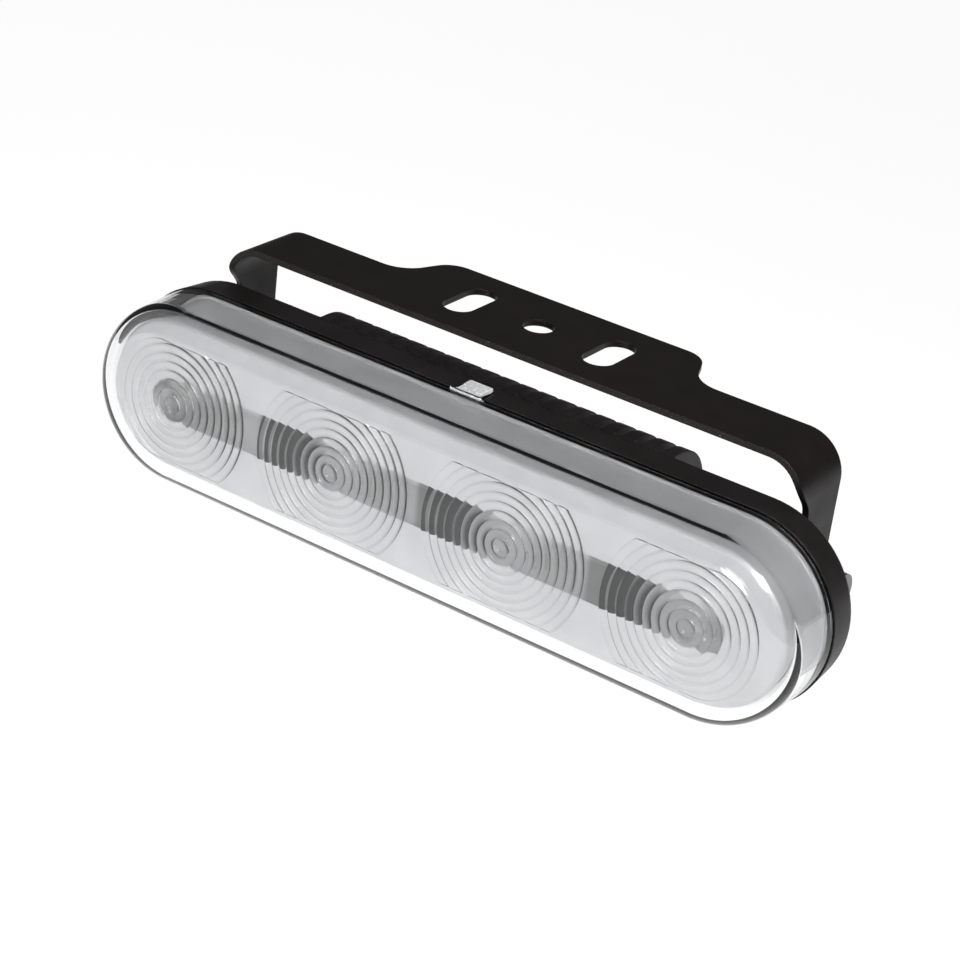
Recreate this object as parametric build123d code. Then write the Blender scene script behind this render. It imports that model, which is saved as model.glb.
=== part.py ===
from build123d import *
import os
from math import radians, tan

# Frame: origin on the top face of the bracket strip at its round hole, X along the lamp,
# Y towards its back, Z up. The lamp faces -Y. All sizes are in millimetres.

# Row of light sources
LED_COUNT = 4
LED_PITCH = 36.0
LED_END_MARGIN = 2.0

# Bracket
BRACKET_SPAN = 121.0
BRACKET_SHEET = 1.2
BEND_RADIUS = 6.0
STRIP_WIDTH = 13.6
STRIP_BEHIND_HOLE = 1.5
TAB_TIP_WIDTH = 54.0
TAB_ROOT_WIDTH = 62.0
TAB_DEPTH = 10.3
TAB_CORNER = 5.0
TAB_NECK_RADIUS = 6.5
LEG_END_RADIUS = 5.0
LEG_NECK_START = 3.4
LEG_NECK_HEIGHT = 8.0
CENTRE_HOLE = 5.8
SLOT_WIDTH = 6.0
SLOT_LENGTH = 12.6
SLOT_SPACING = 29.5
STRIP_GAP = 5.4

# Housing
RIM_RADIUS = 17.8
RIM_DEPTH = 7.6
RIM_DRAFT = 4.0
RIM_EDGE_RADIUS = 1.5
RIM_TO_PIVOT = 8.8
FLOOR = 3.0
INNER_WALL = 1.2
FIN_COUNT = 19
FIN_PITCH = 4.0
FIN_THICKNESS = 2.2
FIN_DEPTH = 10.8
FIN_HALF_HEIGHT = 17.5
FIN_CORNER = 10.0
BOSS_RADIUS = 5.5

# Lens
LENS_STEP = 0.2
LENS_DEPTH = 13.8
LENS_WALL = 2.2
LENS_DRAFT = 3.0
LENS_EDGE_RADIUS = 5.4
FRESNEL_RINGS = 10
FRESNEL_PITCH = 1.64
FACET_ANGLE = 34.0
FRESNEL_WEB = 0.2
TONGUE_WALL = 1.0
TONGUE_LENGTH = 2.6
GROOVE_CLEARANCE = 0.1
LENS_TAB_WIDTH = 6.4
LENS_TAB_TIP = 5.0
LENS_TAB_LENGTH = 4.0
LENS_TAB_PROUD = 0.5
SEAL_HEIGHT = 1.0

# Reflector
REFLECTOR_WALL = 1.2
SKIRT_SEAT = 0.6
RING_CLEARANCE = 0.6
REFLECTOR_EDGE = 0.8
TROUGH_TO_SCREWS = 2.6
TROUGH_LIP = 10.0

# Board and what sits on it
PAD_THICKNESS = 0.5
BOARD_THICKNESS = 1.6
BOARD_CLEARANCE = 0.5
PACKAGE_SIDE = 3.5
PACKAGE_HEIGHT = 0.9
DOME_RADIUS = 1.3
BOARD_SCREW = 2.5
BOARD_SCREW_HEAD = 4.5
BOARD_SCREW_HEAD_HEIGHT = 1.6
BOARD_SCREW_REACH = 2.0
BOARD_SCREW_CLEARANCE = 0.1
PART_SPACING = 7.0
PART_EDGE_MARGIN = 1.2
IC_LENGTH = 4.9
IC_WIDTH = 3.9
IC_HEIGHT = 1.5
INDUCTOR_SIDE = 4.0
INDUCTOR_HEIGHT = 2.0
DIODE_LENGTH = 4.3
DIODE_WIDTH = 2.6
DIODE_HEIGHT = 1.8
CAPACITOR_LENGTH = 3.5
CAPACITOR_WIDTH = 2.8
CAPACITOR_HEIGHT = 1.9
RESISTOR_COUNT = 3
RESISTOR_LENGTH = 2.0
RESISTOR_WIDTH = 1.2
RESISTOR_HEIGHT = 0.6
TERMINAL_LENGTH = 5.0
TERMINAL_WIDTH = 4.0
TERMINAL_HEIGHT = 2.0

# Cable inlet
INLET_TO_FINS = 9.9
INLET_TO_BOSS = 0.3
GROMMET_RADIUS = 3.2
GROMMET_FLANGE_RADIUS = 4.4
GROMMET_FLANGE = 2.0
CABLE_DIAMETER = 4.0
CABLE_PASS_CLEARANCE = 0.5

# Pivot hardware
PIVOT_SCREW = 4.0
PIVOT_CLEARANCE = 0.05
PIVOT_THREAD_REACH = 8.0
HEAD_DIAMETER = 7.0
HEAD_HEIGHT = 4.0
HEX_SIDES = 6
HEX_SOCKET = 3.0
HEX_SOCKET_DEPTH = 2.0
FLAT_WASHER_DIAMETER = 9.0
FLAT_WASHER_SHEET = 1.0
SPRING_WASHER_DIAMETER = 7.0
SPRING_WASHER_SHEET = 1.2
SPRING_WASHER_GAP = 0.9
FRICTION_WASHER_DIAMETER = 10.0
FRICTION_WASHER_SHEET = 1.6
WASHER_BORE_CLEARANCE = 0.15
SIDE_GAP = 0.05

# Places worked out from the sizes above. Lamp pieces are drawn about the pivot axis.
END_CENTRE = (LED_COUNT - 1) * LED_PITCH / 2 + LED_END_MARGIN
LED_X = [(i - (LED_COUNT - 1) / 2) * LED_PITCH for i in range(LED_COUNT)]
STRIP_BACK = STRIP_BEHIND_HOLE
STRIP_FRONT = STRIP_BACK - STRIP_WIDTH
PIVOT_Y = STRIP_BACK - LEG_END_RADIUS
PIVOT_Z = -(BRACKET_SHEET + STRIP_GAP + RIM_RADIUS)
LAMP = Pos(0, PIVOT_Y, PIVOT_Z)

LEG_OUTSIDE = BRACKET_SPAN / 2
LEG_INSIDE = LEG_OUTSIDE - BRACKET_SHEET
BOSS_FACE = LEG_INSIDE - SIDE_GAP - FRICTION_WASHER_SHEET

RIM_BACK = -RIM_TO_PIVOT
RIM_FRONT = RIM_BACK - RIM_DEPTH
CAVITY_FLOOR = RIM_BACK - FLOOR
BOARD_BACK = CAVITY_FLOOR - PAD_THICKNESS
BOARD_FRONT = BOARD_BACK - BOARD_THICKNESS
LENS_FRONT = RIM_FRONT - LENS_DEPTH
FIN_BACK = RIM_BACK + FIN_DEPTH
FIN_BLOCK_END = (FIN_COUNT - 1) * FIN_PITCH / 2 + FIN_THICKNESS / 2
INLET_X = FIN_BLOCK_END + INLET_TO_FINS
INLET_Z = -(BOSS_RADIUS + INLET_TO_BOSS + GROMMET_FLANGE_RADIUS)

LENS_BASE_RADIUS = RIM_RADIUS - LENS_STEP
TONGUE_INNER = LENS_BASE_RADIUS - LENS_WALL
TONGUE_OUTER = TONGUE_INNER + TONGUE_WALL
GROOVE_INNER = TONGUE_INNER - GROOVE_CLEARANCE
GROOVE_OUTER = TONGUE_OUTER + GROOVE_CLEARANCE
GROOVE_DEPTH = TONGUE_LENGTH + SEAL_HEIGHT
CAVITY_RADIUS = GROOVE_INNER - INNER_WALL
BOARD_RADIUS = CAVITY_RADIUS - BOARD_CLEARANCE

FRESNEL_RADIUS = FRESNEL_RINGS * FRESNEL_PITCH
RING_HEIGHT = FRESNEL_WEB + FRESNEL_PITCH * tan(radians(FACET_ANGLE))
SKIRT_RADIUS = CAVITY_RADIUS + SKIRT_SEAT
REFLECTOR_FRONT = LENS_FRONT + LENS_WALL + RING_HEIGHT + RING_CLEARANCE
SCREW_ROW_Z = BOARD_RADIUS - PART_EDGE_MARGIN - BOARD_SCREW_HEAD / 2
SCREW_X = (LED_X[0] + LED_X[1]) / 2
TROUGH_HALF_HEIGHT = SCREW_ROW_Z - BOARD_SCREW_HEAD / 2 - TROUGH_TO_SCREWS - REFLECTOR_WALL


def face_plane(y):
    """Plane facing the front of the lamp, at depth y from the pivot axis."""
    return Plane.XZ.offset(-y)


def stadium_block(radius, back, front, taper=0.0):
    """Straight-sided block with round ends, drawn at its back and grown forwards."""
    outline = SlotCenterToCenter(2 * END_CENTRE, 2 * radius)
    return extrude(face_plane(back) * outline, back - front, taper=taper)


def stadium_ring(outer, inner, back, front):
    return stadium_block(outer, back, front) - stadium_block(inner, back, front)


def post(x, z, radius, back, front):
    """Round post along Y."""
    return extrude(face_plane(back) * Pos(x, z) * Circle(radius), back - front)


def rod(radius, start, end):
    """Round rod along the pivot axis."""
    return extrude(Plane.YZ.offset(start) * Circle(radius), end - start)


def chip(x, z, length, width, height):
    """Rectangular part that stands on the front of the board."""
    return extrude(face_plane(BOARD_FRONT) * Pos(x, z) * Rectangle(length, width), height)


def make_bracket():
    top = Pos(0, (STRIP_FRONT + STRIP_BACK) / 2) * Rectangle(BRACKET_SPAN, STRIP_WIDTH)
    tab_back = STRIP_BACK + TAB_DEPTH
    tab = make_face(Polyline((-TAB_ROOT_WIDTH / 2, STRIP_BACK), (TAB_ROOT_WIDTH / 2, STRIP_BACK),
                             (TAB_TIP_WIDTH / 2, tab_back), (-TAB_TIP_WIDTH / 2, tab_back), close=True))
    plan = top + tab
    necks = plan.vertices().group_by(Axis.Y)[1].sort_by(Axis.X)[1:-1]
    plan = fillet(necks, TAB_NECK_RADIUS)
    plan = fillet(plan.vertices().group_by(Axis.Y)[-1], TAB_CORNER)
    plan -= Circle(CENTRE_HOLE / 2)
    slot = SlotOverall(SLOT_LENGTH, SLOT_WIDTH, rotation=90)
    plan -= [Pos(side * SLOT_SPACING / 2, 0) * slot for side in (-1, 1)]

    leg_bottom = PIVOT_Z - LEG_END_RADIUS
    outside = Pos(0, leg_bottom / 2) * Rectangle(BRACKET_SPAN, -leg_bottom)
    outside = fillet(outside.vertices().group_by(Axis.Y)[-1], BEND_RADIUS + BRACKET_SHEET)
    inside_height = -leg_bottom - BRACKET_SHEET
    inside = Pos(0, leg_bottom + inside_height / 2) * Rectangle(2 * LEG_INSIDE, inside_height)
    inside = fillet(inside.vertices().group_by(Axis.Y)[-1], BEND_RADIUS)
    folded = extrude(face_plane(tab_back) * (outside - inside), tab_back - STRIP_FRONT)

    leg_front = PIVOT_Y - LEG_END_RADIUS
    neck_top = -LEG_NECK_START
    neck_middle = neck_top - LEG_NECK_HEIGHT / 2
    neck_bottom = neck_top - LEG_NECK_HEIGHT
    side = make_face(
        Curve()
        + Polyline((STRIP_FRONT, neck_top), (STRIP_FRONT, 0), (tab_back, 0), (tab_back, -BRACKET_SHEET),
                   (STRIP_BACK, -BRACKET_SHEET), (STRIP_BACK, PIVOT_Z))
        + ThreePointArc((STRIP_BACK, PIVOT_Z), (PIVOT_Y, leg_bottom), (leg_front, PIVOT_Z))
        + Line((leg_front, PIVOT_Z), (leg_front, neck_bottom))
        + Bezier((leg_front, neck_bottom), (leg_front, neck_middle), (STRIP_FRONT, neck_middle),
                 (STRIP_FRONT, neck_top))
    )
    side -= Pos(PIVOT_Y, PIVOT_Z) * Circle(PIVOT_SCREW / 2 + PIVOT_CLEARANCE)
    side_prism = extrude(Plane.YZ.offset(-LEG_OUTSIDE) * side, BRACKET_SPAN)
    plan_prism = extrude(Plane.XY.offset(leg_bottom) * plan, -leg_bottom)
    return folded & plan_prism & side_prism


def make_fins():
    profile = Pos((RIM_BACK - RIM_EDGE_RADIUS + FIN_BACK) / 2, 0) * Rectangle(
        FIN_DEPTH + RIM_EDGE_RADIUS, 2 * FIN_HALF_HEIGHT)
    profile = fillet(profile.vertices().group_by(Axis.X)[-1], FIN_CORNER)
    first = -(FIN_COUNT - 1) * FIN_PITCH / 2 - FIN_THICKNESS / 2
    starts = [first + i * FIN_PITCH for i in range(FIN_COUNT)]
    return [extrude(Plane.YZ.offset(x) * profile, FIN_THICKNESS) for x in starts]


def make_housing():
    back_radius = RIM_RADIUS - RIM_DEPTH * tan(radians(RIM_DRAFT))
    body = stadium_block(back_radius, RIM_BACK, RIM_FRONT, taper=-RIM_DRAFT)
    body = fillet(body.faces().sort_by(Axis.Y)[-1].edges(), RIM_EDGE_RADIUS)
    body += make_fins()
    boss_outline = Circle(BOSS_RADIUS) + Pos(RIM_BACK / 2, 0) * Rectangle(RIM_TO_PIVOT, 2 * BOSS_RADIUS)
    boss_start = FIN_BLOCK_END - FIN_THICKNESS
    boss = extrude(Plane.YZ.offset(boss_start) * boss_outline, BOSS_FACE - boss_start)
    boss -= rod(PIVOT_SCREW / 2 + PIVOT_CLEARANCE, BOSS_FACE - PIVOT_THREAD_REACH, BOSS_FACE)
    body += [boss, mirror(boss, Plane.YZ)]
    body -= stadium_block(CAVITY_RADIUS, CAVITY_FLOOR, RIM_FRONT)
    body -= stadium_ring(GROOVE_OUTER, GROOVE_INNER, RIM_FRONT + GROOVE_DEPTH, RIM_FRONT)
    body -= lens_tab(RIM_FRONT, GROOVE_CLEARANCE)
    body -= post(INLET_X, INLET_Z, GROMMET_RADIUS, RIM_BACK, CAVITY_FLOOR)
    hole = BOARD_SCREW / 2 + BOARD_SCREW_CLEARANCE
    hole_end = CAVITY_FLOOR + BOARD_SCREW_REACH + BOARD_SCREW_CLEARANCE
    body -= [post(x, z, hole, hole_end, CAVITY_FLOOR) for x, z in board_screw_places()]
    return body


def lens_tab(start, clearance=0.0):
    """Locating tab on top of the lens, or with a clearance the notch that takes it."""
    half_base = LENS_TAB_WIDTH / 2 + clearance
    half_tip = LENS_TAB_TIP / 2 + clearance
    tip = RIM_FRONT + LENS_TAB_LENGTH + clearance
    bottom = GROOVE_OUTER + GROOVE_CLEARANCE - clearance
    outline = make_face(Polyline((-half_base, start), (half_base, start), (half_tip, tip), (-half_tip, tip),
                                 close=True))
    height = RIM_RADIUS + LENS_TAB_PROUD - bottom
    return extrude(Plane.XY.offset(bottom) * outline, height)


def lens_form(inset):
    """Outer form of the lens, or the form that lies an inset inside it."""
    form = stadium_block(LENS_BASE_RADIUS - inset, RIM_FRONT, LENS_FRONT + inset, taper=LENS_DRAFT)
    front_edges = form.faces().sort_by(Axis.Y)[0].edges()
    return fillet(front_edges, LENS_EDGE_RADIUS - inset)


def fresnel_disc(x):
    """Ringed optic on the inner face of the lens, steeper towards its edge."""
    base = LENS_FRONT + LENS_WALL + FRESNEL_WEB
    root = LENS_FRONT + LENS_WALL / 2
    points = [(0, root)]
    for ring in range(FRESNEL_RINGS):
        inner = ring * FRESNEL_PITCH
        outer = inner + FRESNEL_PITCH
        height = FRESNEL_PITCH * tan(radians(FACET_ANGLE * outer / FRESNEL_RADIUS))
        points += [(inner, base + height), (outer, base)]
    points.append((FRESNEL_RADIUS, root))
    disc = revolve(make_face(Polyline(*points, close=True)), Axis.Y)
    return Pos(x, 0, 0) * disc


def make_lens():
    lens = lens_form(0.0) - lens_form(LENS_WALL)
    clip = lens_form(LENS_WALL / 2)
    lens += [fresnel_disc(x) & clip for x in LED_X]
    lens += stadium_ring(TONGUE_OUTER, TONGUE_INNER, RIM_FRONT + TONGUE_LENGTH, RIM_FRONT)
    return lens + lens_tab(RIM_FRONT - TONGUE_WALL)


def make_seal():
    groove_floor = RIM_FRONT + GROOVE_DEPTH
    return stadium_ring(TONGUE_OUTER, TONGUE_INNER, groove_floor, groove_floor - SEAL_HEIGHT)


def make_reflector():
    skirt = stadium_block(SKIRT_RADIUS, RIM_FRONT, REFLECTOR_FRONT, taper=LENS_DRAFT)
    skirt = fillet(skirt.faces().sort_by(Axis.Y)[0].edges(), REFLECTOR_EDGE)
    hollow = stadium_block(SKIRT_RADIUS - REFLECTOR_WALL, RIM_FRONT, REFLECTOR_FRONT + REFLECTOR_WALL,
                           taper=LENS_DRAFT)
    skirt_front = SKIRT_RADIUS - (RIM_FRONT - REFLECTOR_FRONT) * tan(radians(LENS_DRAFT))
    mouth = skirt_front - TROUGH_LIP
    depth = BOARD_FRONT - REFLECTOR_FRONT
    flare = Vector(depth, mouth - TROUGH_HALF_HEIGHT).get_angle(Vector(1, 0))
    trough = stadium_block(TROUGH_HALF_HEIGHT, BOARD_FRONT, REFLECTOR_FRONT, taper=-flare)
    trough_outside = stadium_block(TROUGH_HALF_HEIGHT + REFLECTOR_WALL, BOARD_FRONT, REFLECTOR_FRONT,
                                   taper=-flare)
    envelope = skirt + stadium_block(SKIRT_RADIUS - REFLECTOR_WALL, BOARD_FRONT, RIM_FRONT)
    return (skirt - hollow) + (trough_outside & envelope) - trough


def board_screw_places():
    return [(sx * SCREW_X, sz * SCREW_ROW_Z) for sx in (-1, 1) for sz in (-1, 1)]


def make_pad_or_board(back, front):
    sheet = stadium_block(BOARD_RADIUS, back, front)
    hole = BOARD_SCREW / 2 + BOARD_SCREW_CLEARANCE
    sheet -= [post(x, z, hole, back, front) for x, z in board_screw_places()]
    return sheet - post(INLET_X, INLET_Z, CABLE_DIAMETER / 2 + CABLE_PASS_CLEARANCE, back, front)


def make_board_screws():
    screws = []
    for x, z in board_screw_places():
        shank = post(x, z, BOARD_SCREW / 2, CAVITY_FLOOR + BOARD_SCREW_REACH, BOARD_FRONT)
        head = post(x, z, BOARD_SCREW_HEAD / 2, BOARD_FRONT, BOARD_FRONT - BOARD_SCREW_HEAD_HEIGHT)
        screws.append((shank + head).solid())
    return Compound(screws)


def make_driver():
    """Parts of the current driver in a row along the lower edge of the board."""
    sizes = {
        "driver_ic": (IC_LENGTH, IC_WIDTH, IC_HEIGHT),
        "power_inductor": (INDUCTOR_SIDE, INDUCTOR_SIDE, INDUCTOR_HEIGHT),
        "polarity_diode": (DIODE_LENGTH, DIODE_WIDTH, DIODE_HEIGHT),
        "filter_capacitor": (CAPACITOR_LENGTH, CAPACITOR_WIDTH, CAPACITOR_HEIGHT),
    }
    row = -(BOARD_RADIUS - PART_EDGE_MARGIN - INDUCTOR_SIDE / 2)
    first = -(len(sizes) - 1) * PART_SPACING / 2
    parts = {name: chip(first + i * PART_SPACING, row, *size) for i, (name, size) in enumerate(sizes.items())}
    parts["supply_terminal"] = chip(INLET_X + PART_SPACING, row, TERMINAL_LENGTH, TERMINAL_WIDTH,
                                    TERMINAL_HEIGHT)
    spread = [(i - (RESISTOR_COUNT - 1) / 2) * PART_SPACING for i in range(RESISTOR_COUNT)]
    resistors = [chip(x, -row, RESISTOR_LENGTH, RESISTOR_WIDTH, RESISTOR_HEIGHT).solid() for x in spread]
    parts["sense_resistors"] = Compound(resistors)
    return parts


def make_leds():
    leds = {}
    package_front = BOARD_FRONT - PACKAGE_HEIGHT
    for number, x in enumerate(LED_X, start=1):
        leds[f"led_package_{number}"] = chip(x, 0, PACKAGE_SIDE, PACKAGE_SIDE, PACKAGE_HEIGHT)
        ball = Pos(x, package_front, 0) * Sphere(DOME_RADIUS)
        front_half = post(x, 0, 2 * DOME_RADIUS, package_front, package_front - 2 * DOME_RADIUS)
        leds[f"led_dome_{number}"] = ball & front_half
    return leds


def make_grommet():
    body = post(INLET_X, INLET_Z, GROMMET_RADIUS, RIM_BACK, CAVITY_FLOOR)
    flange = post(INLET_X, INLET_Z, GROMMET_FLANGE_RADIUS, RIM_BACK + GROMMET_FLANGE, RIM_BACK)
    bore = post(INLET_X, INLET_Z, CABLE_DIAMETER / 2, RIM_BACK + GROMMET_FLANGE, CAVITY_FLOOR)
    return body + flange - bore


def washer(diameter, start, sheet):
    bore = PIVOT_SCREW / 2 + WASHER_BORE_CLEARANCE
    return rod(diameter / 2, start, start + sheet) - rod(bore, start, start + sheet)


def make_pivot_set():
    """Hardware of the right-hand pivot, from the boss outwards."""
    flat_start = LEG_OUTSIDE + SIDE_GAP
    spring_start = flat_start + FLAT_WASHER_SHEET
    head_start = spring_start + SPRING_WASHER_SHEET
    head_end = head_start + HEAD_HEIGHT
    split = Pos((spring_start + head_start) / 2, SPRING_WASHER_DIAMETER / 2, 0) * Box(
        SPRING_WASHER_SHEET, SPRING_WASHER_DIAMETER, SPRING_WASHER_GAP)
    screw = rod(PIVOT_SCREW / 2, BOSS_FACE - PIVOT_THREAD_REACH, head_start)
    screw += rod(HEAD_DIAMETER / 2, head_start, head_end)
    socket = RegularPolygon(HEX_SOCKET / 2, HEX_SIDES, major_radius=False)
    screw -= extrude(Plane.YZ.offset(head_end - HEX_SOCKET_DEPTH) * socket, HEX_SOCKET_DEPTH)
    return {
        "friction_washer": washer(FRICTION_WASHER_DIAMETER, BOSS_FACE, FRICTION_WASHER_SHEET),
        "flat_washer": washer(FLAT_WASHER_DIAMETER, flat_start, FLAT_WASHER_SHEET),
        "spring_washer": washer(SPRING_WASHER_DIAMETER, spring_start, SPRING_WASHER_SHEET) - split,
        "pivot_screw": screw,
    }


lamp = {
    "rear_housing": make_housing(),
    "outer_lens": make_lens(),
    "lens_seal": make_seal(),
    "reflector": make_reflector(),
    "thermal_pad": make_pad_or_board(CAVITY_FLOOR, BOARD_BACK),
    "led_board": make_pad_or_board(BOARD_BACK, BOARD_FRONT),
    "board_screws": make_board_screws(),
    "cable_grommet": make_grommet(),
    **make_driver(),
    **make_leds(),
}
for name, piece in make_pivot_set().items():
    lamp[f"{name}_right"] = piece
    lamp[f"{name}_left"] = mirror(piece, Plane.YZ)

os.makedirs("parts", exist_ok=True)
export_step(make_bracket(), "parts/mounting_bracket.step")
for name, piece in lamp.items():
    export_step(LAMP * piece, f"parts/{name}.step")
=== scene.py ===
import math

import bpy
from mathutils import Matrix, Vector
from mathutils.geometry import delaunay_2d_cdt, interpolate_bezier


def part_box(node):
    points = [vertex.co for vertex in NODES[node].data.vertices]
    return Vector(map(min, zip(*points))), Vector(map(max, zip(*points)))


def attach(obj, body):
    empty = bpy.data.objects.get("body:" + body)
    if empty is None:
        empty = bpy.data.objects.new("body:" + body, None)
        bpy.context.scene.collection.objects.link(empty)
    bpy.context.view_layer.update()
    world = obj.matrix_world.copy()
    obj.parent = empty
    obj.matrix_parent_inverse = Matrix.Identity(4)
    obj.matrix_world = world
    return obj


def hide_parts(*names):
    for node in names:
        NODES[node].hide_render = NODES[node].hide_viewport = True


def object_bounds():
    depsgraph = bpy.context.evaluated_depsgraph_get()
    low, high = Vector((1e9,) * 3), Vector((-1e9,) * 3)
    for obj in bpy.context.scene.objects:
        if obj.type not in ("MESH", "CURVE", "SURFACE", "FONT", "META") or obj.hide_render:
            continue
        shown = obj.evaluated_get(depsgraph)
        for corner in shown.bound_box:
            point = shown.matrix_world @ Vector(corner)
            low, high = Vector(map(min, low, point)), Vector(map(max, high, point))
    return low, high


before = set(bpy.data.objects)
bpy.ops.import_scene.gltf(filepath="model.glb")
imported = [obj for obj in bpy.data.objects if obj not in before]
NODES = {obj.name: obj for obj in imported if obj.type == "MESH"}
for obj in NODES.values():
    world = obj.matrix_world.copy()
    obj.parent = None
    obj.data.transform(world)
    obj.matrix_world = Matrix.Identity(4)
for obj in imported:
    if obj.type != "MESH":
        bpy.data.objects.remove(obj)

CAD_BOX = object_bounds()
MM = 0.001

# Camera of the reference view: angles in degrees, lengths in metres
CAMERA_AZIMUTH = 32.12
CAMERA_ELEVATION = 26.73
CAMERA_ROLL = 7.12
CAMERA_DISTANCE = 0.405
CAMERA_TARGET = Vector((0.01370, -0.03466, -0.01273))
FOCAL_PIXELS = 2479.19
IMAGE_PIXELS = 960
SENSOR = 36.0
CLIP_START = 0.01

# Lens, in metres and degrees
LENS_WALL = 2.2 * MM
LENS_DRAFT = 3.0
LENS_EDGE_RADIUS = 5.4 * MM
LENS_INNER_EDGE = 3.2 * MM
TONGUE_WALL = 1.0 * MM
TONGUE_LENGTH = 2.6 * MM
FRESNEL_RINGS = 10
FULL_RINGS = 7
FRESNEL_PITCH = 1.64 * MM
RING_SLOPE = 6.0
RING_CROWN = 19.0
DISC_MARGIN = 0.1 * MM
TAB_FOOT_HALF = 3.2 * MM
TAB_NECK_HALF = 2.2 * MM
TAB_TIP_HALF = 2.45 * MM
TAB_NECK = 0.4 * MM
TAB_CORNER = 0.7 * MM
TAB_EDGE = 0.25 * MM
TAB_AIR = 0.02 * MM

# Reflector, in metres
REFLECTOR_WALL = 1.2 * MM
TROUGH_HALF_HEIGHT = 4.1 * MM
TROUGH_LIP = 10.0 * MM
REFLECTOR_EDGE = 0.8 * MM
FLANGE = 0.3 * MM
FLANGE_AIR = 0.2 * MM

# Fields of the board along each light source's share of it, in metres from the light source; dark
# and grey fields are painted shade
SHADE_FIELD_START = -23.0 * MM
SHADE_FIELD_END = -16.0 * MM
PALE_START = -11.5 * MM
PALE_END = 8.5 * MM
HALF_SHADE_START = 9.5 * MM
BOARD_PAINTED_SHADE = (0.03, 0.03, 0.03)
BOARD_PALE = (0.90, 0.90, 0.90)
BOARD_PAINTED_HALF_SHADE = (0.45, 0.45, 0.44)

BOARD_GRAIN = 900
BOARD_ROUGHNESS = (0.35, 0.45)

# Finishes: noise scales per metre, ranges of roughness, and bumps as depth in metres and strength
NOISE_LOW = 0.3
NOISE_HIGH = 0.7
NOISE_DETAIL = 4.0
BEVEL_SAMPLES = 4
PLASTIC_IOR = 1.5
COAT_SPECULAR = 0.2
COAT_BROAD = 40
COAT_BUMP = (0.02 * MM, 0.25)
CLEAR_COLOUR = (0.98, 0.985, 0.99, 1)
CLEAR_WAVE = 220
CLEAR_DETAIL = 2.0
CLEAR_ROUGHNESS = (0.0, 0.03)
CLEAR_BUMP = (0.05 * MM, 0.05)
# The tab's pale, part-opaque colour is painted light, standing in for the light and highlights of
# the clear tab
TAB_PAINTED_LIGHT_COLOUR = (0.93, 0.94, 0.95, 1)
TAB_PAINTED_LIGHT_TRANSMISSION = 0.35
FROSTED_GRAIN = 1500
FROSTED_ROUGHNESS = (0.2, 0.3)
FROSTED_BUMP = (0.02 * MM, 0.2)
BRIGHT_DARK = (0.80, 0.80, 0.81)
BRIGHT_LIGHT = (0.88, 0.88, 0.89)
BRIGHT_WAVE = 160
BRIGHT_DETAIL = 3.0
BRIGHT_BUMP = (0.1 * MM, 0.1)
TROUGH_ROUGHNESS = (0.10, 0.16)
TROUGH_METALLIC = 1.0
FACE_ROUGHNESS = (0.42, 0.5)
FACE_METALLIC = 0.3
PLAIN_UNEVEN = 0.15
PLAIN_BUMP = (0.02 * MM, 0.2)

# Black coats: name, dark and light colour, roughness, grain, edge radius, and the node that has it
COATS = (
    ("bracket_black", (0.008, 0.006, 0.006), (0.012, 0.009, 0.009), (0.40, 0.50), 6000, 0.25 * MM,
     "mounting_bracket"),
    ("housing_black", (0.010, 0.008, 0.008), (0.016, 0.014, 0.014), (0.36, 0.48), 5000, 0.7 * MM,
     "rear_housing"),
)

# Small pieces: name, dark and light colour, roughness, grain, metallic, and the nodes that have it
LED_COUNT = 4
LED_NUMBERS = range(1, LED_COUNT + 1)
SIDES = ("right", "left")
PLAIN_FINISHES = (
    ("rubber_black", (0.012, 0.012, 0.012), (0.022, 0.022, 0.022), 0.6, 2500, 0.0,
     ("lens_seal", "cable_grommet")),
    ("pad_grey", (0.40, 0.41, 0.43), (0.48, 0.49, 0.51), 0.8, 2500, 0.0, ("thermal_pad",)),
    ("steel_plated", (0.50, 0.50, 0.50), (0.62, 0.62, 0.61), 0.25, 3000, 1.0, ("board_screws",)),
    ("steel_dark", (0.16, 0.16, 0.16), (0.26, 0.26, 0.26), 0.35, 3500, 1.0,
     [f"{name}_{side}" for side in SIDES
      for name in ("flat_washer", "spring_washer", "pivot_screw")]),
    ("nylon_black", (0.015, 0.015, 0.015), (0.03, 0.03, 0.03), 0.5, 2500, 0.0,
     [f"friction_washer_{side}" for side in SIDES]),
    ("epoxy_black", (0.015, 0.015, 0.016), (0.03, 0.03, 0.03), 0.45, 4000, 0.0,
     ("driver_ic", "power_inductor", "polarity_diode", "sense_resistors")),
    ("ceramic_tan", (0.38, 0.27, 0.16), (0.48, 0.36, 0.23), 0.5, 4000, 0.0, ("filter_capacitor",)),
    ("terminal_white", (0.72, 0.72, 0.70), (0.82, 0.82, 0.80), 0.5, 3000, 0.0,
     ("supply_terminal",)),
    ("led_body", (0.70, 0.69, 0.66), (0.82, 0.81, 0.78), 0.5, 4000, 0.0,
     [f"led_package_{n}" for n in LED_NUMBERS]),
    ("led_dome", (0.82, 0.81, 0.74), (0.88, 0.87, 0.80), 0.15, 4000, 0.0,
     [f"led_dome_{n}" for n in LED_NUMBERS]),
)

# Steps of the round forms, and limits for equal corners
END_STEPS = 64
EDGE_STEPS = 14
RING_STEPS = 96
CROWN_STEPS = 8
TAB_STEPS = 12
CORNER_DIGITS = 7
FILL_TOLERANCE = 1e-9

# Studio: lengths in metres, the floor's glow and the world as strengths
FLOOR_DROP = 0.45
FLOOR_SIDE = 6.0
FLOOR_GLOW = 0.84
WORLD_FRONT = 0.14
WORLD_BACK = 0.10
WORLD_FADE = (-0.3, 0.6)
FLOOR_DARK = (0.88, 0.88, 0.88)
FLOOR_LIGHT = (0.90, 0.90, 0.90)
FLOOR_GRAIN = 900
FLOOR_ROUGHNESS = 0.9

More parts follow.
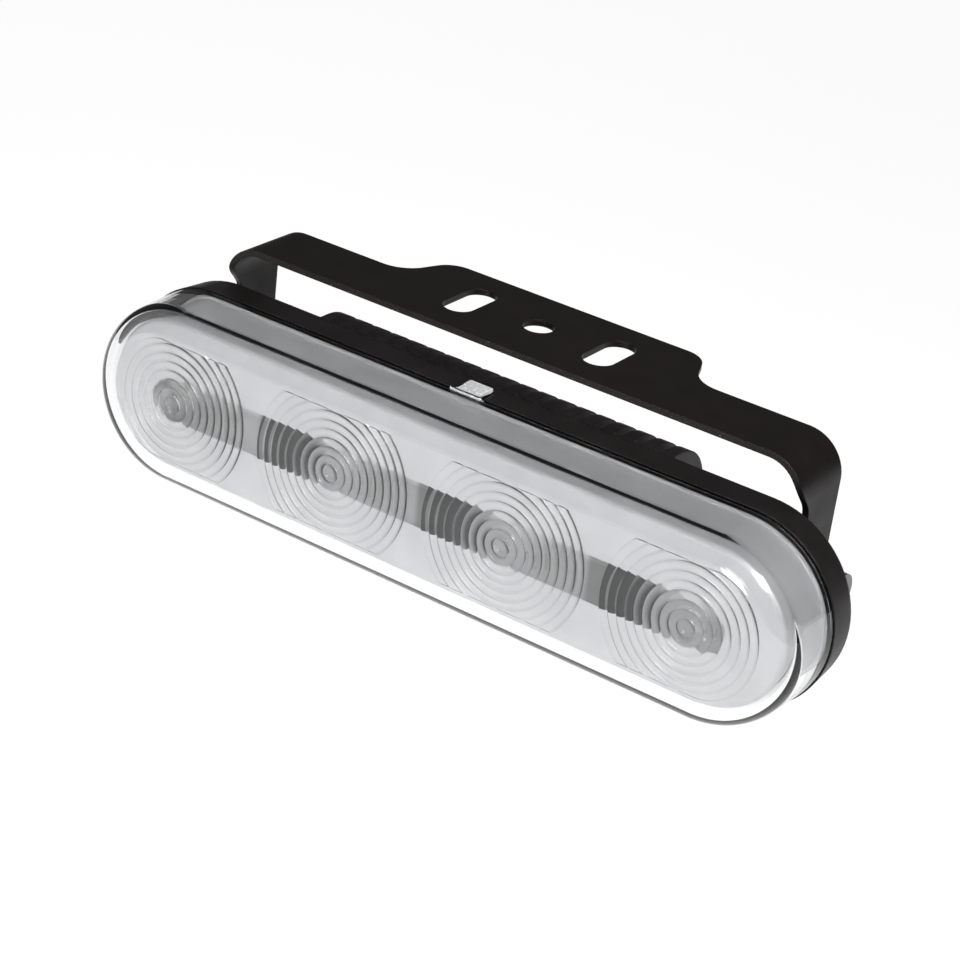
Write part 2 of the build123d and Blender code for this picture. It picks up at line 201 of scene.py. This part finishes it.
# Softboxes: name, place and aim, size, power in watts and spread in degrees
SOFTBOXES = (
    ("softbox_front", (-0.09, -0.92, 0.02), (0.0, -0.03, -0.02), (0.2, 0.2), 0.35, 40),
    ("softbox_top", (0.5, -0.45, 0.65), (0.0, -0.02, -0.02), (0.3, 0.3), 1.2, 60),
)

# Places read from the frame
HOUSING_LOW, HOUSING_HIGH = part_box("rear_housing")
LENS_LOW, LENS_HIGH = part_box("outer_lens")
REFLECTOR_LOW, REFLECTOR_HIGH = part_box("reflector")
AXIS_Z = (HOUSING_LOW.z + HOUSING_HIGH.z) / 2
RIM_RADIUS = (HOUSING_HIGH.z - HOUSING_LOW.z) / 2
END_CENTRE = HOUSING_HIGH.x - RIM_RADIUS
RIM_FRONT = HOUSING_LOW.y
LENS_FRONT = LENS_LOW.y
LENS_BASE_RADIUS = LENS_HIGH.x - END_CENTRE
LED_X = [sum((corner.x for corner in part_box(f"led_dome_{n}")), 0.0) / 2 for n in LED_NUMBERS]


class Surface:
    """Mesh with its own normals, built face by face with shared corners."""

    def __init__(self):
        self.corners = {}
        self.faces = []
        self.normals = []
        self.slots = []
        self.slot = 0

    def corner(self, point):
        key = tuple(round(value, CORNER_DIGITS) for value in point)
        return self.corners.setdefault(key, len(self.corners))

    def face(self, points, normals):
        found = []
        kept = []
        for point, normal in zip(points, normals):
            index = self.corner(point)
            if index not in found:
                found.append(index)
                kept.append(normal)
        if len(found) < 3:
            return
        turn = Vector()
        for a, b in zip(points, points[1:] + points[:1]):
            turn += Vector(a).cross(Vector(b))
        if turn.dot(sum((Vector(n) for n in normals), Vector())) < 0:
            found.reverse()
            kept.reverse()
        self.faces.append(found)
        self.normals.extend(kept)
        self.slots.append(self.slot)

    def flat(self, points, normal):
        self.face(points, [normal] * len(points))

    def piece(self, name):
        mesh = bpy.data.meshes.new(name)
        mesh.from_pydata([Vector(key) for key in self.corners], [], self.faces)
        mesh.polygons.foreach_set("use_smooth", [True] * len(mesh.polygons))
        mesh.polygons.foreach_set("material_index", self.slots)
        mesh.normals_split_custom_set([Vector(n).normalized() for n in self.normals])
        mesh.update()
        obj = bpy.data.objects.new(name, mesh)
        bpy.context.scene.collection.objects.link(obj)
        return obj


def stadium_path():
    """Stations round a stadium: centre of the end that they turn about, and their direction."""
    right = [(END_CENTRE, math.radians(-90 + 180 * i / END_STEPS)) for i in range(END_STEPS + 1)]
    left = [(-END_CENTRE, math.radians(90 + 180 * i / END_STEPS)) for i in range(END_STEPS + 1)]
    stations = right + left
    return stations + stations[:1]


def straight(start, end):
    """Two profile points, radius and depth, with the normal to the right of the way."""
    along = Vector((end[0] - start[0], end[1] - start[1])).normalized()
    normal = (along.y, -along.x)
    return [(*start, *normal), (*end, *normal)]


def arc(centre, radius, start, end, steps, facing=1):
    """Profile points on an arc, angles in degrees from the radial direction."""
    points = []
    for i in range(steps + 1):
        a = math.radians(start + (end - start) * i / steps)
        r, y = math.cos(a), math.sin(a)
        points.append((centre[0] + radius * r, centre[1] + radius * y, facing * r, facing * y))
    return points


def sweep(surface, profile, slots=None):
    """Carry a profile's stretches round the stadium, each with its material slot."""
    path = stadium_path()
    for number, stretch in enumerate(profile):
        surface.slot = slots[number] if slots else 0
        for a, b in zip(stretch, stretch[1:]):
            for here, there in zip(path, path[1:]):
                points = []
                normals = []
                for (r, y, nr, ny), (x, t) in ((a, here), (a, there), (b, there), (b, here)):
                    points.append((x + r * math.cos(t), y, AXIS_Z + r * math.sin(t)))
                    normals.append((nr * math.cos(t), ny, nr * math.sin(t)))
                surface.face(points, normals)


def stadium_outline(radius, y):
    """Corners of a stadium with a given end radius, at one depth."""
    return [(x + radius * math.cos(t), y, AXIS_Z + radius * math.sin(t))
            for x, t in stadium_path()[:-1]]


def edge_profile(base_radius, front, edge):
    """Drafted wall with a rounded front edge: wall end, edge centre and flat radius."""
    draft = math.radians(LENS_DRAFT)
    corner = base_radius - (RIM_FRONT - front) * math.tan(draft)
    reach = edge * math.tan(math.radians(90 - LENS_DRAFT) / 2)
    flat = corner - reach
    centre = (flat, front + edge)
    wall_end = (centre[0] + edge * math.cos(draft), centre[1] - edge * math.sin(draft))
    return wall_end, centre, flat


def crown(start, radius, low, high):
    """Convex profile from a start point; its normal turns from low to high degrees."""
    points = []
    first = math.radians(low)
    for i in range(CROWN_STEPS + 1):
        turn = math.radians(low + (high - low) * i / CROWN_STEPS)
        across, along = math.sin(turn), math.cos(turn)
        reach = start[0] + radius * (across - math.sin(first))
        height = start[1] + radius * (along - math.cos(first))
        points.append((reach, height, across, along))
    points[-1] = (points[-1][0], 0.0, *points[-1][2:])
    return points


def ring_profile(count):
    """Rings of an optic from its centre out: stretches of radius, height and normal."""
    turn = math.radians(RING_CROWN)
    cap = FRESNEL_PITCH / math.sin(turn)
    stretches = [crown((0.0, cap * (1 - math.cos(turn))), cap, 0.0, RING_CROWN)]
    for ring in range(1, count):
        slope = RING_SLOPE * (ring + 1) / FRESNEL_RINGS
        inner = ring * FRESNEL_PITCH
        height = FRESNEL_PITCH * math.tan(math.radians(slope))
        radius = FRESNEL_PITCH / (2 * math.cos(math.radians(slope)) * math.sin(turn))
        stretches.append([(inner, 0.0, -1, 0), (inner, height, -1, 0)])
        stretches.append(crown((inner, height), radius, slope - RING_CROWN, slope + RING_CROWN))
    return stretches


def disc_point(x, base, radius, height, angle):
    return (x + radius * math.cos(angle), base + height, AXIS_Z + radius * math.sin(angle))


def disc_normal(radial, axial, angle):
    return (radial * math.cos(angle), axial, radial * math.sin(angle))


def ring_reach(x, side, edge):
    """Half angle of a ring inside the lens's inner flat, by radius, and the number of rings."""
    clip = FULL_RINGS * FRESNEL_PITCH
    to_end = END_CENTRE - abs(x)
    last = FRESNEL_RINGS * FRESNEL_PITCH
    towards_end = (x > 0) == (side == 0) and abs(x) + last > END_CENTRE + edge

    def half(radius):
        angle = math.asin(min(1.0, clip / max(radius, clip)))
        if towards_end:
            turn = (radius ** 2 + to_end ** 2 - edge ** 2) / (2 * to_end * max(radius, clip))
            angle = min(angle, math.acos(max(-1.0, min(1.0, turn))))
        return angle

    return half, int((to_end + edge) / FRESNEL_PITCH) if towards_end else FRESNEL_RINGS


def add_disc(surface, x, base, edge):
    """Rings of one optic on the inner face of the lens; returns its outline on that face."""
    half_steps = RING_STEPS // 2
    clip = FULL_RINGS * FRESNEL_PITCH
    outline = []
    for side in (0, 1):
        half, count = ring_reach(x, side, edge)
        middle = side * math.pi
        section = []

        def fan(radius):
            return [middle + half(radius) * (2 * i / half_steps - 1) for i in range(half_steps + 1)]

        for stretch in ring_profile(count):
            for a, b in zip(stretch, stretch[1:]):
                turns_a, turns_b = fan(a[0]), fan(b[0])
                for i in range(half_steps):
                    corners = ((a, turns_a[i]), (a, turns_a[i + 1]),
                               (b, turns_b[i + 1]), (b, turns_b[i]))
                    surface.face([disc_point(x, base, p[0], p[1], t) for p, t in corners],
                                 [disc_normal(p[2], p[3], t) for p, t in corners])
            section += [p[:2] for p in stretch if p[0] >= clip and p[:2] not in section[-1:]]
        for up in (-1, 1):
            add_disc_wall(surface, x, base, section, lambda r: middle + up * half(r))
        radii = sorted({r for r, _ in section})
        outline += [disc_point(x, base, r, 0.0, middle - half(r)) for r in radii[:-1]]
        outline += [disc_point(x, base, radii[-1], 0.0, turn) for turn in fan(radii[-1])]
        outline += [disc_point(x, base, r, 0.0, middle + half(r)) for r in reversed(radii[1:-1])]
    return outline


def add_disc_wall(surface, x, base, section, angle):
    """Upright wall where an optic's rings are cut off, from their section to the inner face."""
    column = [section[0]] if section[0][1] > 0 else []
    radius = section[0][0]
    for r, h in section[1:]:
        if r > radius:
            points = [disc_point(x, base, radius, 0.0, angle(radius))]
            points += [disc_point(x, base, radius, height, angle(radius)) for _, height in column]
            points.append(disc_point(x, base, r, h, angle(r)))
            points.append(disc_point(x, base, r, 0.0, angle(r)))
            along = Vector(points[-1]) - Vector(points[0])
            across = Vector((along.z, 0, -along.x))
            outward = Vector(points[0]) - Vector((x, base, AXIS_Z))
            surface.flat(points, across if across.dot(outward) > 0 else -across)
            column = []
            radius = r
        column.append((r, h))


def fill_around(surface, outline, holes, normal):
    """Flat face inside an outline, open where the holes are."""
    loops = [outline] + holes
    corners = [point for loop in loops for point in loop]
    edges = []
    start = 0
    for loop in loops:
        edges += [(start + i, start + (i + 1) % len(loop)) for i in range(len(loop))]
        start += len(loop)
    flat = [Vector((x, z)) for x, _, z in corners]
    made, _, faces, source, _, _ = delaunay_2d_cdt(flat, edges, [], 0, FILL_TOLERANCE)
    for face in faces:
        centre = sum((made[i] for i in face), Vector((0, 0))) / len(face)
        if inside(centre, outline) and not any(inside(centre, hole) for hole in holes):
            surface.flat([corners[source[i][0]] for i in face], normal)


def inside(point, loop):
    """True where a point lies inside a loop in the X-Z plane."""
    odd = False
    for a, b in zip(loop, loop[1:] + loop[:1]):
        if (a[2] > point.y) != (b[2] > point.y):
            cross = a[0] + (point.y - a[2]) / (b[2] - a[2]) * (b[0] - a[0])
            odd ^= point.x < cross
    return odd


def make_lens():
    surface = Surface()
    inner_front = LENS_FRONT + LENS_WALL
    inner_base = LENS_BASE_RADIUS - LENS_WALL
    wall_end, centre, flat = edge_profile(LENS_BASE_RADIUS, LENS_FRONT, LENS_EDGE_RADIUS)
    in_end, in_centre, in_flat = edge_profile(inner_base, inner_front, LENS_INNER_EDGE)
    tongue = inner_base + TONGUE_WALL
    tongue_end = RIM_FRONT + TONGUE_LENGTH
    profile = [
        arc(centre, LENS_EDGE_RADIUS, -90, -LENS_DRAFT, EDGE_STEPS),
        straight(wall_end, (LENS_BASE_RADIUS, RIM_FRONT)),
        straight((LENS_BASE_RADIUS, RIM_FRONT), (tongue, RIM_FRONT)),
        straight((tongue, RIM_FRONT), (tongue, tongue_end)),
        straight((tongue, tongue_end), (inner_base, tongue_end)),
        straight((inner_base, tongue_end), (inner_base, RIM_FRONT)),
        straight((inner_base, RIM_FRONT), in_end),
        arc(in_centre, LENS_INNER_EDGE, -LENS_DRAFT, -90, EDGE_STEPS, facing=-1),
    ]
    sweep(surface, profile)
    surface.flat(stadium_outline(flat, LENS_FRONT), (0, -1, 0))
    discs = [add_disc(surface, x, inner_front, in_flat - DISC_MARGIN) for x in LED_X]
    fill_around(surface, stadium_outline(in_flat, inner_front), discs, (0, 1, 0))
    return surface.piece("lens_shell")


def curve(*handles):
    """Points on a Bezier curve in the X-Y plane."""
    return [tuple(point) for point in interpolate_bezier(*[Vector(h) for h in handles], TAB_STEPS)]


def tab_outline():
    """Plan of the locating tab: flared foot on the lens, neck and wider tip with round corners."""
    foot = RIM_FRONT - TONGUE_WALL
    neck = RIM_FRONT + TAB_NECK
    tip = LENS_HIGH.y
    shoulder = tip - TAB_CORNER
    half_way = (neck + shoulder) / 2
    side = curve((TAB_FOOT_HALF, foot), (TAB_NECK_HALF, foot), (TAB_NECK_HALF, RIM_FRONT),
                 (TAB_NECK_HALF, neck))
    side += curve((TAB_NECK_HALF, neck), (TAB_NECK_HALF, half_way), (TAB_TIP_HALF, half_way),
                  (TAB_TIP_HALF, shoulder))[1:]
    side += curve((TAB_TIP_HALF, shoulder), (TAB_TIP_HALF, tip), (TAB_TIP_HALF, tip),
                  (TAB_TIP_HALF - TAB_CORNER, tip))[1:]
    return side + [(-x, y) for x, y in reversed(side)]


def make_lens_tab():
    surface = Surface()
    plan = [Vector(point) for point in tab_outline()]
    outward = []
    for before, after in zip(plan[-1:] + plan[:-1], plan[1:] + plan[:1]):
        along = (after - before).normalized()
        outward.append(Vector((along.y, -along.x)))
    top = LENS_HIGH.z
    bottom = AXIS_Z + LENS_BASE_RADIUS + TAB_AIR
    levels = [(bottom, 0.0, 0.0)]
    for i in range(EDGE_STEPS // 2 + 1):
        turn = math.radians(90 * i / (EDGE_STEPS // 2))
        rise, level = math.sin(turn), math.cos(turn)
        levels.append((top - TAB_EDGE * (1 - rise), TAB_EDGE * (1 - level), rise))
    count = len(plan)
    for lower, upper in zip(levels, levels[1:]):
        for i in range(count):
            j = (i + 1) % count
            points = []
            normals = []
            for (z, inset, rise), k in ((lower, i), (lower, j), (upper, j), (upper, i)):
                place = plan[k] - inset * outward[k]
                level = math.sqrt(1 - rise ** 2)
                points.append((place.x, place.y, z))
                normals.append((level * outward[k].x, level * outward[k].y, rise))
            surface.face(points, normals)
    cap = [p - TAB_EDGE * n for p, n in zip(plan, outward)]
    surface.flat([(p.x, p.y, top) for p in cap], (0, 0, 1))
    surface.flat([(p.x, p.y, bottom) for p in plan], (0, 0, -1))
    return surface.piece("lens_tab")


def make_reflector():
    surface = Surface()
    front, back = REFLECTOR_LOW.y, REFLECTOR_HIGH.y
    skirt = REFLECTOR_HIGH.x - END_CENTRE
    lean = math.tan(math.radians(LENS_DRAFT))
    skirt_front = skirt - (RIM_FRONT - front) * lean
    mouth = skirt_front - TROUGH_LIP
    slot = TROUGH_HALF_HEIGHT
    under = front + REFLECTOR_WALL
    flare = (mouth - slot) / (back - front)
    outer_slot = slot + REFLECTOR_WALL
    under_wall = outer_slot + (back - under) * flare
    inner_skirt = skirt - REFLECTOR_WALL
    flange_end = LENS_BASE_RADIUS - LENS_WALL - FLANGE_AIR
    edge_centre = (skirt_front - REFLECTOR_EDGE, front + REFLECTOR_EDGE)
    edge = arc(edge_centre, REFLECTOR_EDGE, -90, -LENS_DRAFT, EDGE_STEPS // 2)
    profile = [
        straight((slot, back), (mouth, front)),
        straight((mouth, front), (edge_centre[0], front)),
        edge,
        straight(edge[-1][:2], (skirt - FLANGE * lean, RIM_FRONT - FLANGE)),
        straight((skirt - FLANGE * lean, RIM_FRONT - FLANGE), (flange_end, RIM_FRONT - FLANGE)),
        straight((flange_end, RIM_FRONT - FLANGE), (flange_end, RIM_FRONT)),
        straight((flange_end, RIM_FRONT), (inner_skirt, RIM_FRONT)),
        straight((inner_skirt, RIM_FRONT), (inner_skirt - (RIM_FRONT - under) * lean, under)),
        straight((inner_skirt - (RIM_FRONT - under) * lean, under), (under_wall, under)),
        straight((under_wall, under), (outer_slot, back)),
        straight((outer_slot, back), (slot, back)),
    ]
    sweep(surface, profile, [0] + [1] * (len(profile) - 1))
    return surface.piece("reflector_trough")


def new_material(name):
    material = bpy.data.materials.new(name)
    material.use_nodes = True
    tree = material.node_tree
    return material, tree.nodes, tree.links, tree.nodes["Principled BSDF"]


def noise(nodes, links, scale, detail=NOISE_DETAIL):
    """Noise in the object's own metres."""
    place = nodes.new("ShaderNodeTexCoord")
    texture = nodes.new("ShaderNodeTexNoise")
    texture.inputs["Scale"].default_value = scale
    texture.inputs["Detail"].default_value = detail
    links.new(place.outputs["Object"], texture.inputs["Vector"])
    return texture.outputs["Fac"]


def ranged(nodes, links, source, low, high, start=NOISE_LOW, end=NOISE_HIGH):
    """An output, such as noise, spread over a range of values."""
    spread = nodes.new("ShaderNodeMapRange")
    spread.inputs["From Min"].default_value = start
    spread.inputs["From Max"].default_value = end
    spread.inputs["To Min"].default_value = low
    spread.inputs["To Max"].default_value = high
    links.new(source, spread.inputs["Value"])
    return spread.outputs["Result"]


def tinted(nodes, links, source, dark, light):
    """Two colours mixed by a noise output."""
    ramp = nodes.new("ShaderNodeValToRGB")
    ramp.color_ramp.elements[0].position = NOISE_LOW
    ramp.color_ramp.elements[0].color = (*dark, 1)
    ramp.color_ramp.elements[1].position = NOISE_HIGH
    ramp.color_ramp.elements[1].color = (*light, 1)
    links.new(source, ramp.inputs["Fac"])
    return ramp.outputs["Color"]


def bumped(nodes, links, source, distance, strength, edge=0.0):
    """Bump from a noise output, over edges rounded by a small radius."""
    bump = nodes.new("ShaderNodeBump")
    bump.inputs["Distance"].default_value = distance
    bump.inputs["Strength"].default_value = strength
    links.new(source, bump.inputs["Height"])
    if edge:
        bevel = nodes.new("ShaderNodeBevel")
        bevel.samples = BEVEL_SAMPLES
        bevel.inputs["Radius"].default_value = edge
        links.new(bevel.outputs["Normal"], bump.inputs["Normal"])
    return bump.outputs["Normal"]


def coat_material(name, dark, light, roughness, grain, edge):
    """Baked black coat on metal: fine grain, uneven gloss and softened edges."""
    material, nodes, links, shader = new_material(name)
    fine = noise(nodes, links, grain)
    broad = noise(nodes, links, grain / COAT_BROAD)
    links.new(tinted(nodes, links, broad, dark, light), shader.inputs["Base Color"])
    links.new(ranged(nodes, links, broad, *roughness), shader.inputs["Roughness"])
    shader.inputs["Specular IOR Level"].default_value = COAT_SPECULAR
    links.new(bumped(nodes, links, fine, *COAT_BUMP, edge), shader.inputs["Normal"])
    return material


def clear_material():
    """Clear moulded plastic with the slight waviness of a moulding."""
    material, nodes, links, shader = new_material("clear_plastic")
    shader.inputs["Base Color"].default_value = CLEAR_COLOUR
    shader.inputs["Transmission Weight"].default_value = 1.0
    shader.inputs["IOR"].default_value = PLASTIC_IOR
    wave = noise(nodes, links, CLEAR_WAVE, CLEAR_DETAIL)
    links.new(ranged(nodes, links, wave, *CLEAR_ROUGHNESS), shader.inputs["Roughness"])
    links.new(bumped(nodes, links, wave, *CLEAR_BUMP), shader.inputs["Normal"])
    return material


def tab_painted_light_material():
    """Clear plastic left matt by the mould; its pale, part-opaque colour is painted light, standing
    in for the light and highlights of the clear tab.
    """
    material, nodes, links, shader = new_material("frosted_plastic_painted_light")
    shader.inputs["Base Color"].default_value = TAB_PAINTED_LIGHT_COLOUR
    shader.inputs["Transmission Weight"].default_value = TAB_PAINTED_LIGHT_TRANSMISSION
    shader.inputs["IOR"].default_value = PLASTIC_IOR
    grain = noise(nodes, links, FROSTED_GRAIN)
    links.new(ranged(nodes, links, grain, *FROSTED_ROUGHNESS), shader.inputs["Roughness"])
    links.new(bumped(nodes, links, grain, *FROSTED_BUMP), shader.inputs["Normal"])
    return material


def bright_material(name, roughness, metallic):
    """Metallised plastic, slightly wavy."""
    material, nodes, links, shader = new_material(name)
    shader.inputs["Metallic"].default_value = metallic
    wave = noise(nodes, links, BRIGHT_WAVE, BRIGHT_DETAIL)
    links.new(tinted(nodes, links, wave, BRIGHT_DARK, BRIGHT_LIGHT), shader.inputs["Base Color"])
    links.new(ranged(nodes, links, wave, *roughness), shader.inputs["Roughness"])
    links.new(bumped(nodes, links, wave, *BRIGHT_BUMP), shader.inputs["Normal"])
    return material


def plain_material(name, dark, light, rough, grain, metallic):
    """Grained finish of the small pieces."""
    material, nodes, links, shader = new_material(name)
    shader.inputs["Metallic"].default_value = metallic
    fine = noise(nodes, links, grain)
    links.new(tinted(nodes, links, fine, dark, light), shader.inputs["Base Color"])
    smooth, coarse = rough * (1 - PLAIN_UNEVEN), rough * (1 + PLAIN_UNEVEN)
    links.new(ranged(nodes, links, fine, smooth, coarse), shader.inputs["Roughness"])
    links.new(bumped(nodes, links, fine, *PLAIN_BUMP), shader.inputs["Normal"])
    return material


def board_material():
    """Board in dark, pale and grey fields that repeat with the light sources; the dark and grey
    fields are painted shade.
    """
    material, nodes, links, shader = new_material("board_mask")
    place = nodes.new("ShaderNodeTexCoord")
    parts = nodes.new("ShaderNodeSeparateXYZ")
    links.new(place.outputs["Object"], parts.inputs["Vector"])
    pitch = LED_X[1] - LED_X[0]
    first = LED_X[0] + SHADE_FIELD_START
    wrap = nodes.new("ShaderNodeMath")
    wrap.operation = "WRAP"
    wrap.inputs[1].default_value = first + pitch
    wrap.inputs[2].default_value = first
    links.new(parts.outputs["X"], wrap.inputs[0])
    share = ranged(nodes, links, wrap.outputs["Value"], 0.0, 1.0, first, first + pitch)
    ramp = nodes.new("ShaderNodeValToRGB")
    links.new(share, ramp.inputs["Fac"])
    elements = ramp.color_ramp.elements
    # Dark and grey fields: painted shade seen through the optics
    elements[0].color = (*BOARD_PAINTED_SHADE, 1)
    elements[1].color = (*BOARD_PAINTED_HALF_SHADE, 1)
    fields = ((SHADE_FIELD_END, BOARD_PAINTED_SHADE), (PALE_START, BOARD_PALE), (PALE_END, BOARD_PALE),
              (HALF_SHADE_START, BOARD_PAINTED_HALF_SHADE))
    for x, colour in fields:
        elements.new((x - SHADE_FIELD_START) / pitch).color = (*colour, 1)
    links.new(ramp.outputs["Color"], shader.inputs["Base Color"])
    grain = noise(nodes, links, BOARD_GRAIN)
    links.new(ranged(nodes, links, grain, *BOARD_ROUGHNESS), shader.inputs["Roughness"])
    return material


def dress(material, *names):
    """Give a material to nodes of the frame."""
    for name in names:
        mesh = NODES[name].data
        mesh.materials.clear()
        mesh.materials.append(material)


def make_floor():
    """Pale paper that camera, mirrors and glass see as white; other rays see it as it is lit."""
    surface = Surface()
    half = FLOOR_SIDE / 2
    z = CAD_BOX[0].z - FLOOR_DROP
    corners = [(-half, -half, z), (half, -half, z), (half, half, z), (-half, half, z)]
    surface.flat(corners, (0, 0, 1))
    floor = surface.piece("studio_floor")
    material, nodes, links, shader = new_material("pale_paper")
    grain = noise(nodes, links, FLOOR_GRAIN)
    links.new(tinted(nodes, links, grain, FLOOR_DARK, FLOOR_LIGHT), shader.inputs["Base Color"])
    shader.inputs["Roughness"].default_value = FLOOR_ROUGHNESS
    shader.inputs["Emission Color"].default_value = (1, 1, 1, 1)
    path = nodes.new("ShaderNodeLightPath")
    seen = path.outputs["Is Camera Ray"]
    for kind in ("Is Glossy Ray", "Is Transmission Ray"):
        both = nodes.new("ShaderNodeMath")
        both.operation = "MAXIMUM"
        links.new(seen, both.inputs[0])
        links.new(path.outputs[kind], both.inputs[1])
        seen = both.outputs["Value"]
    glow = ranged(nodes, links, seen, 0.0, FLOOR_GLOW, 0.0, 1.0)
    links.new(glow, shader.inputs["Emission Strength"])
    floor.data.materials.append(material)


def add_light(name, place, aim, size, power, spread):
    """Softbox at a place, turned to a point; its grid keeps the light within the spread."""
    lamp = bpy.data.lights.new(name, "AREA")
    lamp.shape = "RECTANGLE"
    lamp.size, lamp.size_y = size
    lamp.energy = power
    lamp.spread = math.radians(spread)
    obj = bpy.data.objects.new(name, lamp)
    obj.location = place
    obj.rotation_mode = "QUATERNION"
    obj.rotation_quaternion = (Vector(aim) - Vector(place)).to_track_quat("-Z", "Y")
    bpy.context.scene.collection.objects.link(obj)


def make_world():
    """Even grey surroundings, a little lighter in front."""
    world = bpy.data.worlds.new("studio")
    world.use_nodes = True
    nodes, links = world.node_tree.nodes, world.node_tree.links
    place = nodes.new("ShaderNodeTexCoord")
    parts = nodes.new("ShaderNodeSeparateXYZ")
    links.new(place.outputs["Generated"], parts.inputs["Vector"])
    fade = ranged(nodes, links, parts.outputs["Y"], WORLD_FRONT, WORLD_BACK, *WORLD_FADE)
    background = nodes["Background"]
    background.inputs["Color"].default_value = (1, 1, 1, 1)
    links.new(fade, background.inputs["Strength"])
    bpy.context.scene.world = world


def make_camera():
    a, e, r = (math.radians(v) for v in (CAMERA_AZIMUTH, CAMERA_ELEVATION, CAMERA_ROLL))
    back = Vector((math.sin(a) * math.cos(e), -math.cos(a) * math.cos(e), math.sin(e)))
    level = Vector((math.cos(a), math.sin(a), 0))
    upright = back.cross(level)
    right = level * math.cos(r) + upright * math.sin(r)
    up = upright * math.cos(r) - level * math.sin(r)
    camera = bpy.data.cameras.new("camera")
    camera.sensor_width = SENSOR
    camera.lens = SENSOR * FOCAL_PIXELS / IMAGE_PIXELS
    camera.clip_start = CLIP_START
    obj = bpy.data.objects.new("camera", camera)
    place = Matrix((right, up, back)).transposed().to_4x4()
    place.translation = CAMERA_TARGET + back * CAMERA_DISTANCE
    obj.matrix_world = place
    bpy.context.scene.collection.objects.link(obj)
    bpy.context.scene.camera = obj


lens = make_lens()
lens.data.materials.append(clear_material())
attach(lens, "lamp")
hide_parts("outer_lens")

lens_tab = make_lens_tab()
lens_tab.data.materials.append(tab_painted_light_material())
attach(lens_tab, "lamp")
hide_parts("outer_lens")

reflector = make_reflector()
reflector.data.materials.append(bright_material("bright_metal", TROUGH_ROUGHNESS, TROUGH_METALLIC))
reflector.data.materials.append(bright_material("satin_silver", FACE_ROUGHNESS, FACE_METALLIC))
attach(reflector, "lamp")
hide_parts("reflector")

for *finish, node in COATS:
    dress(coat_material(*finish), node)
dress(board_material(), "led_board")
for *finish, names in PLAIN_FINISHES:
    dress(plain_material(*finish), *names)

make_floor()
make_world()
for softbox in SOFTBOXES:
    add_light(*softbox)
make_camera()
bpy.context.scene.view_settings.view_transform = "Standard"
